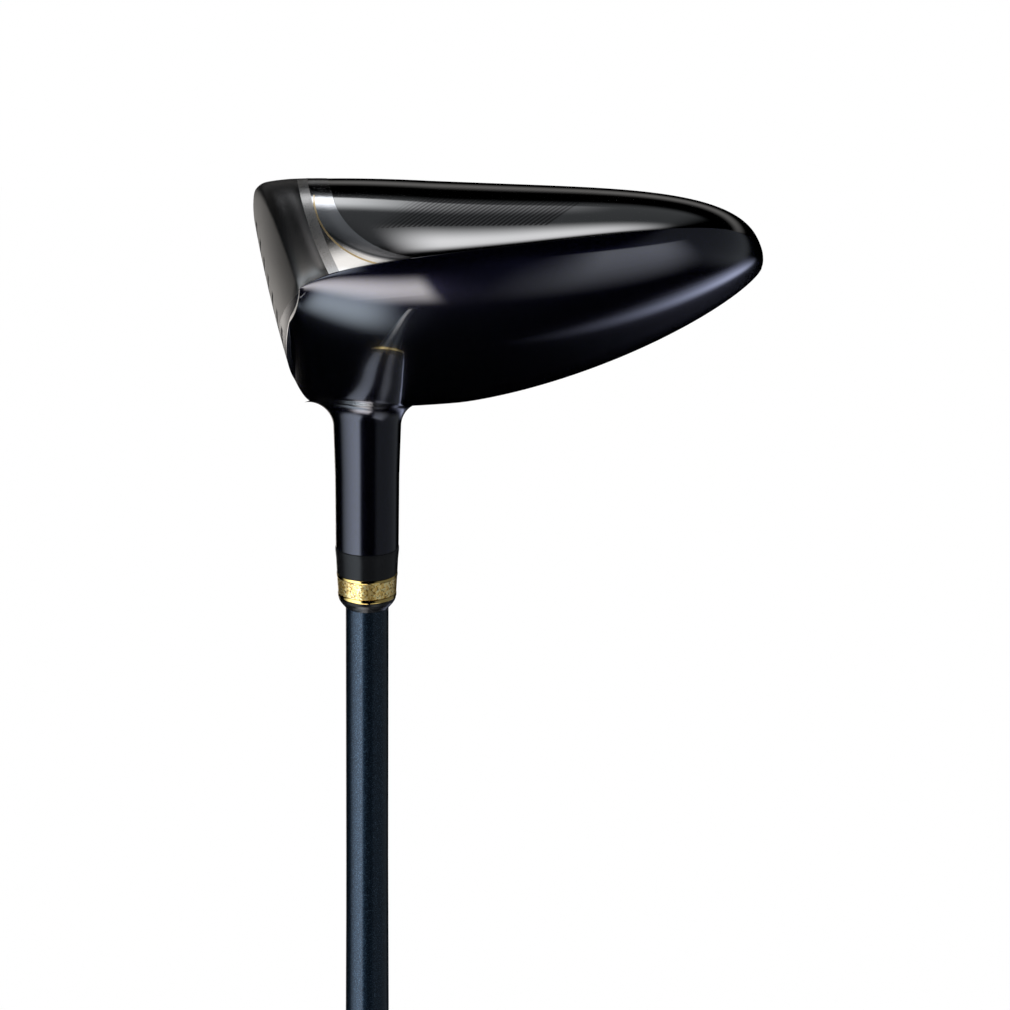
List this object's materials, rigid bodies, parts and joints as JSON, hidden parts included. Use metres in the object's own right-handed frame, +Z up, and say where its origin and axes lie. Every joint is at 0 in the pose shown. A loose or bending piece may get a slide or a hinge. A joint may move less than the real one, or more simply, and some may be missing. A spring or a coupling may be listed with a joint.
{
  "type": "fairway wood",
  "caption": "Fairway wood golf club: hollow rounded head with a lofted face, bonded hosel and gold-ringed ferrule on a long tapered shaft with a rubber grip.",
  "frame": {"origin": "middle of the flat butt end of the grip, on the shaft's axis", "axes": "+Z up the shaft from the butt to the head, +X from the face towards the back of the head, -Y towards the toe"},
  "size_m": [0.0958, 0.0958, 1.1146],
  "materials": {
    "crown_paint": "deep gloss lacquer, navy black",
    "sole_paint": "gloss black",
    "brushed_cup": "dark satin brushed metal",
    "silver_trim": "satin silver",
    "gold": "polished gold plate",
    "glitter": "gold flake under clear lacquer",
    "weight_alloy": "as cast",
    "soft_polymer": "matte",
    "ferrule_plastic": "satin black",
    "shaft_paint": "dark blue metallic satin",
    "epoxy": "cured resin",
    "tape": "matte",
    "grip_rubber": "matte moulded"
  },
  "bodies": {
    "root": {"crown_shell": "crown_paint", "face_cup": "brushed_cup", "sole_shell": "sole_paint", "seam_band": "silver_trim", "toe_panel": "silver_trim", "pinstripe": "gold", "front_weight": "weight_alloy", "rear_weight": "weight_alloy", "sole_rib_heel": "brushed_cup", "sole_rib_toe": "brushed_cup", "damping_pad": "soft_polymer", "hosel": "crown_paint", "ferrule_sleeve": "ferrule_plastic", "ferrule_ring_upper": "gold", "glitter_band": "glitter", "ferrule_ring_lower": "gold", "ferrule_cap": "ferrule_plastic", "shaft": "shaft_paint", "epoxy_bond": "epoxy", "tip_plug": "gold", "grip_tape": "tape", "grip": "grip_rubber", "grip_cap": "grip_rubber"}
  },
  "joints": []
}
